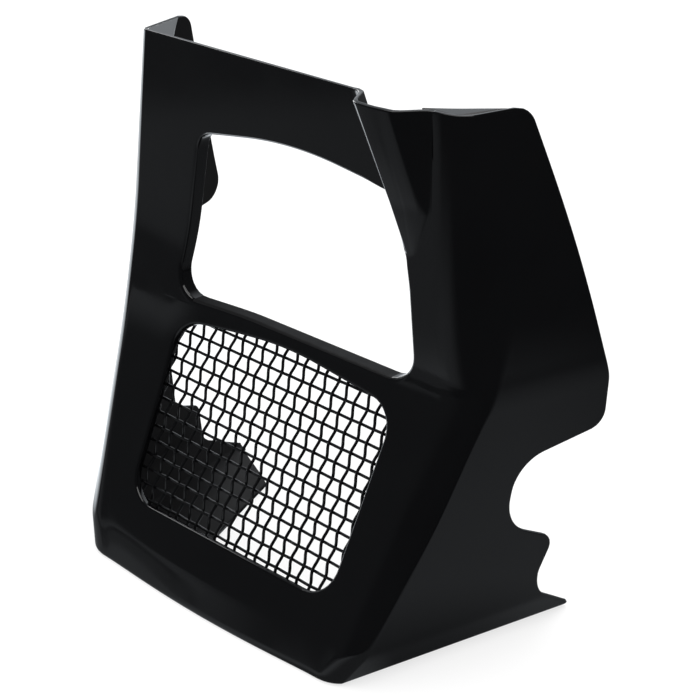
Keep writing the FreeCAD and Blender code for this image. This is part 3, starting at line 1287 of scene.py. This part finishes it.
@dataclass
class WovenGrille:
    """Woven wire behind the window: nearly straight wires across, crimped wires down the slope."""

    pitch: float = 9.3
    radius: float = 0.97
    columns: int = 22
    rows: int = 15
    first_row: float = 9.0
    half: float = 101.0
    top: float = 5.0
    bottom: float = 147.0
    crimp: float = 1.2
    counter: float = 0.45
    depth: float = 7.2
    facets: int = 8
    steps_down: float = 8.0
    steps_across: float = 4.0
    weld: float = 0.001

    def place(self, x: Array, down: Array, depth: Array) -> Array:
        """Points behind the raked face.

        Args:
            x: places across.
            down: distances down the slope from the crease.
            depth: distances in from the face.

        Returns:
            Points, with one more axis.
        """
        point = np.zeros((*np.broadcast_shapes(x.shape, down.shape, depth.shape), 3))
        point[..., 0] = x
        point[..., 2] = CREASE
        return point + down[..., None] * SLOPE_DOWN + depth[..., None] * SLOPE_IN

    def ring(self) -> tuple[Array, Array]:
        """Cosines and sines round a wire, times its radius."""
        angle = np.arange(self.facets) * (2.0 * math.pi / self.facets)
        return self.radius * np.cos(angle), self.radius * np.sin(angle)

    def wave(self, phase: Array, size: float) -> tuple[Array, Array]:
        """A wire's cosine wave in depth, with the ring set square to it.

        Args:
            phase: angle of the wave at each station.
            size: half the height of the wave.

        Returns:
            How far the ring's points lie along the wire from their station, and their depths.
        """
        slope = -size * math.pi / self.pitch * np.sin(phase)
        length = np.sqrt(1.0 + slope * slope)
        sine = self.ring()[1]
        depth = self.depth + size * np.cos(phase)
        return -(slope / length)[..., None] * sine, depth[..., None] + (1.0 / length)[..., None] * sine

    def upright_wires(self) -> Array:
        """Wires down the slope: one wave to two rows, turned over at each column.

        Returns:
            Array of shape (wires, stations, facets, 3).
        """
        column = np.arange(self.columns)
        x = (column - (self.columns - 1) / 2.0) * self.pitch
        count = int((self.bottom - self.top) / self.pitch * self.steps_down) + 1
        down = np.linspace(self.top, self.bottom, count)
        phase = math.pi * (down[None, :] - self.first_row) / self.pitch + math.pi * column[:, None]
        lean, depth = self.wave(phase, self.crimp)
        return self.place(x[:, None, None] + self.ring()[0], down[None, :, None] + lean, depth)

    def level_wires(self) -> Array:
        """Wires across: nearly straight, with a small wave against the wires down the slope.

        Returns:
            Array of shape (wires, stations, facets, 3).
        """
        row = np.arange(self.rows)
        down = self.first_row + row * self.pitch
        count = int(2.0 * self.half / self.pitch * self.steps_across) + 1
        x = np.linspace(-self.half, self.half, count)
        column = x[None, :] / self.pitch + (self.columns - 1) / 2.0
        lean, depth = self.wave(math.pi * (column + row[:, None]), -self.counter)
        return self.place(x[None, :, None] + lean, down[:, None, None] - self.ring()[0], depth)

    def build(self) -> bpy.types.Object:
        """Builds all the wires as one piece.

        Returns:
            The grille, which stands for the CAD node of the same piece.
        """
        work = Patchwork()
        for wire in (*self.upright_wires(), *self.level_wires()):
            work.add(wire, closed=True)
        mesh = work.mesh("woven_grille", self.weld, close=True)
        mesh.materials.append(WIRE_COAT.material())
        piece = new_piece("woven_grille", mesh)
        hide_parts("mesh_grille")
        return piece


def stand(thing: bpy.types.Object, place: Triple, right: Array, back: Array) -> None:
    """Puts a light or a camera in its place.

    Args:
        thing: the light or the camera.
        place: where it stands, in metres.
        right: unit vector to its right.
        back: unit vector away from what it looks at.
    """
    turn = np.eye(4)
    turn[:3, :3] = np.stack([right, np.cross(back, right), back], axis=1)
    turn[:3, 3] = place
    thing.matrix_world = Matrix(turn.tolist())


@dataclass(frozen=True)
class SoftBox:
    """A rectangular studio light, which stands beside its aim."""

    name: str
    place: Triple
    size: tuple[float, float]
    power: float
    aim: Triple = (0.0, 0.05, 0.2)

    def build(self) -> None:
        """Adds the light, turned towards its aim."""
        lamp = bpy.data.lights.new(self.name, "AREA")
        lamp.shape = "RECTANGLE"
        lamp.size, lamp.size_y = self.size
        lamp.energy = self.power
        back = unit(np.array(self.place) - np.array(self.aim))
        stand(linked(self.name, lamp), self.place, unit(np.cross(UPWARD, back)), back)


@dataclass(frozen=True)
class FloorGlow:
    """Painted light and shade that the floor shows in reflections, as ramps over the distance in metres and
    sectors.

    The glow is painted: a painted shadow darkens the floor under the shell, and painted light lies round it,
    fading outwards. The left front is painted brighter close by and keeps that painted light for longer
    further out; the right front corner has painted shade at a level of its own, and painted shade dims the
    floor behind. A painted dark patch of shade lies on the right front. The left rear is painted bright, with
    a narrow painted strip of light beside it.
    """

    # Every level below is painted light or painted shade in the floor's glow, which is seen only in
    # reflections. This one is a painted shadow under the shell, rising to painted light round it.
    near: Ramp = Ramp(0.12, 0.22, 0.05, 0.285)
    # Painted shade at the right front corner.
    corner: Sector = Sector((0.45, -0.89, 0.0), Ramp(0.65, 0.85))
    painted_corner_shade: float = 0.2
    # Painted light close by on the left front.
    front: Sector = Sector((-0.55, -0.83, 0.0), Ramp(0.2, 0.7))
    front_near: Ramp = Ramp(0.3, 0.4, 0.5, 0.285)
    # Painted shade behind the shell.
    painted_shade_behind: Sector = Sector((0.3, 0.95, 0.0), Ramp(0.6, 0.9, 1.0, 0.5))
    # Painted light fading outwards.
    fade: Ramp = Ramp(0.25, 1.05, 1.0, 0.2)
    # Painted light kept for longer on the left front.
    painted_light_sheet: Sector = Sector((-0.77, -0.64, 0.0), Ramp(0.84, 0.94))
    painted_light_sheet_fade: Ramp = Ramp(0.95, 1.15, 0.7, 0.34)
    # Painted shade on the right front.
    painted_shade: Sector = Sector((0.74, -0.67, 0.0), Ramp(0.55, 0.8))
    painted_shade_start: Ramp = Ramp(0.36, 0.5)
    painted_shade_level: float = 0.06
    # Painted light on the left rear, with a narrow painted strip of light beside it.
    rear: Sector = Sector((-0.95, 0.3, 0.0), Ramp(0.7, 0.86, 0.0, 1.2))
    strip: Sector = Sector((-0.985, -0.17, 0.0), Ramp(0.955, 0.985, 0.0, 2.2))
    rear_start: Ramp = Ramp(0.15, 0.3)

    def strength(self, graph: ShaderGraph) -> Socket:
        """Works out the glow from the floor's own coordinates.

        Args:
            graph: node tree of the floor's material.

        Returns:
            Strength of the glow.
        """
        place = graph.add("ShaderNodeTexCoord", {}).outputs["Object"]
        spot = graph.vector("SUBTRACT", "Vector", place, (0.0, FACE_BACK * MM, 0.0))
        away = graph.vector("NORMALIZE", "Vector", spot)
        radius = graph.vector("LENGTH", "Value", spot)
        # Painted shadow under the shell and painted light round it, with painted shade at the right front
        # corner and painted light on the left front.
        near = graph.through(radius, self.near)
        near = graph.towards(near, self.painted_corner_shade, graph.within(away, self.corner))
        near = graph.towards(near, graph.through(radius, self.front_near), graph.within(away, self.front))
        # Painted light fading outwards, dimmed by painted shade behind and kept for longer on the left front.
        fade = graph.scalar("MULTIPLY", graph.within(away, self.painted_shade_behind), graph.through(radius, self.fade))
        fade = graph.towards(fade, graph.through(radius, self.painted_light_sheet_fade), graph.within(away, self.painted_light_sheet))
        # Painted dark patch of shade on the right front.
        painted_shade = graph.scalar("MULTIPLY", graph.within(away, self.painted_shade), graph.through(radius, self.painted_shade_start))
        lit = graph.towards(graph.scalar("MULTIPLY", near, fade), self.painted_shade_level, painted_shade)
        # Painted light on the left rear and a narrow painted strip of light beside it.
        rear = graph.scalar("ADD", graph.within(away, self.rear), graph.within(away, self.strip))
        rear = graph.scalar("MULTIPLY", rear, graph.through(radius, self.rear_start))
        return graph.scalar("ADD", lit, rear)


@dataclass(frozen=True)
class RoomGlow:
    """What the surroundings show in reflections: a dim room, a pale horizon and a backdrop."""

    ahead: Triple = (-0.77, -0.64, 0.0)
    horizon: Sector = Sector(UPWARD, Ramp(0.0, 0.09, 0.2, 0.0))
    horizon_span: Ramp = Ramp(0.955, 0.995)
    room: Ramp = Ramp(0.75, 0.95, 0.065, 0.1)
    backdrop: Sector = Sector((-0.75, 0.66, 0.0), Ramp(0.3, 0.7, 0.0, 0.62))

    def strength(self, graph: ShaderGraph) -> Socket:
        """Works out the glow from the direction that is looked in.

        Args:
            graph: node tree of the world.

        Returns:
            Strength of the glow.
        """
        view = graph.add("ShaderNodeTexCoord", {}).outputs["Generated"]
        pale = graph.within(view, self.horizon)
        pale = graph.scalar("MULTIPLY", pale, graph.within(view, Sector(self.ahead, self.horizon_span)))
        lit = graph.scalar("ADD", pale, graph.within(view, self.backdrop))
        return graph.scalar("ADD", lit, graph.within(view, Sector(self.ahead, self.room)))


@dataclass
class Studio:
    """Pale floor, soft light and the camera of the photograph, in metres and degrees."""

    azimuth: float = 45.0873
    elevation: float = 24.2199
    place: Triple = (0.7814, -0.6712, 0.6359)
    focal_pixels: float = 1900.38
    picture: float = 700.0
    sensor: float = 36.0
    floor_radius: float = 6.0
    first_radius: float = 0.2
    floor_rings: int = 12
    floor_sides: int = 96
    floor_colour: tuple[float, ...] = (0.9, 0.9, 0.9, 1.0)
    paper: float = 0.7
    dome: float = 1.12
    tint: tuple[float, ...] = (0.9, 0.95, 1.0, 1.0)
    floor_glow: FloorGlow = FloorGlow()
    room_glow: RoomGlow = RoomGlow()
    lights: tuple[SoftBox, ...] = (
        SoftBox("overhead_box", (0.1, 0.0, 1.6), (1.3, 1.3), 14.0),
        SoftBox("left_strip", (-1.3, 0.5, 0.7), (0.4, 1.4), 9.0),
    )

    def floor(self) -> None:
        """Level disc under the shell: a grid of radius and angle, closed at its middle."""
        rings = np.geomspace(self.first_radius, self.floor_radius, self.floor_rings)
        radius = np.concatenate([[0.0], rings])[:, None]
        angle = np.linspace(0.0, 2.0 * math.pi, self.floor_sides, endpoint=False)
        x, y = radius * np.cos(angle), radius * np.sin(angle)
        work = Patchwork()
        work.add(np.stack([x, y, np.zeros_like(x)], axis=-1) / MM, closed=True)
        mesh = work.mesh("studio_floor", WELD)
        mesh.materials.append(self.floor_material())
        floor = linked("studio_floor", mesh)

    def floor_material(self) -> bpy.types.Material:
        """White floor, which shows its own painted glow of light and shade in reflections.

        Returns:
            The new material.
        """
        material = bpy.data.materials.new("pale_floor")
        material.use_nodes = True
        material.node_tree.nodes.clear()
        graph = ShaderGraph(material.node_tree)
        strength = self.floor_glow.strength(graph)
        glow = graph.add("ShaderNodeEmission", {"Color": self.tint, "Strength": strength})
        matt = graph.add("ShaderNodeBsdfDiffuse", {"Color": self.floor_colour})
        paper = graph.add("ShaderNodeEmission", {})
        seen = graph.blend(self.paper, matt.outputs["BSDF"], paper.outputs["Emission"])
        glossy = graph.add("ShaderNodeLightPath", {}).outputs["Is Glossy Ray"]
        whole = graph.blend(glossy, seen, glow.outputs["Emission"])
        graph.add("ShaderNodeOutputMaterial", {"Surface": whole})
        return material

    def surroundings(self) -> None:
        """White dome for the floor, which shows its own glow in reflections."""
        world = bpy.data.worlds.new("studio")
        bpy.context.scene.world = world
        world.use_nodes = True
        graph = ShaderGraph(world.node_tree)
        dome = world.node_tree.nodes["Background"]
        dome.inputs["Color"].default_value = (1.0, 1.0, 1.0, 1.0)
        dome.inputs["Strength"].default_value = self.dome
        strength = self.room_glow.strength(graph)
        room = graph.add("ShaderNodeBackground", {"Color": self.tint, "Strength": strength})
        glossy = graph.add("ShaderNodeLightPath", {}).outputs["Is Glossy Ray"]
        whole = graph.blend(glossy, dome.outputs["Background"], room.outputs["Background"])
        graph.feed(world.node_tree.nodes["World Output"].inputs["Surface"], whole)

    def camera(self) -> None:
        """Camera at the photograph's angle and distance."""
        data = bpy.data.cameras.new("camera")
        data.sensor_width = self.sensor
        data.lens = self.focal_pixels * self.sensor / self.picture
        camera = linked("camera", data)
        a, e = math.radians(self.azimuth), math.radians(self.elevation)
        back = np.array([math.sin(a) * math.cos(e), -math.cos(a) * math.cos(e), math.sin(e)])
        stand(camera, self.place, np.array([math.cos(a), math.sin(a), 0.0]), back)
        bpy.context.scene.camera = camera

    def build(self) -> None:
        """Sets up the floor, the light and the camera."""
        self.floor()
        self.surroundings()
        for light in self.lights:
            light.build()
        self.camera()
        bpy.context.scene.view_settings.view_transform = "Standard"


def report(piece: bpy.types.Object) -> None:
    """Logs a finished piece with its number of faces."""
    LOG.info("%s: %d faces", piece.name, len(piece.data.polygons))


def main() -> None:
    """Builds the pieces in order, then the studio round them."""
    logging.basicConfig(level=logging.INFO, format="%(message)s")
    shell = Shell()
    report(shell.build())
    report(CornerWebs().build(shell.section))
    report(WovenGrille().build())
    Studio().build()


if __name__ == "__main__":
    main()
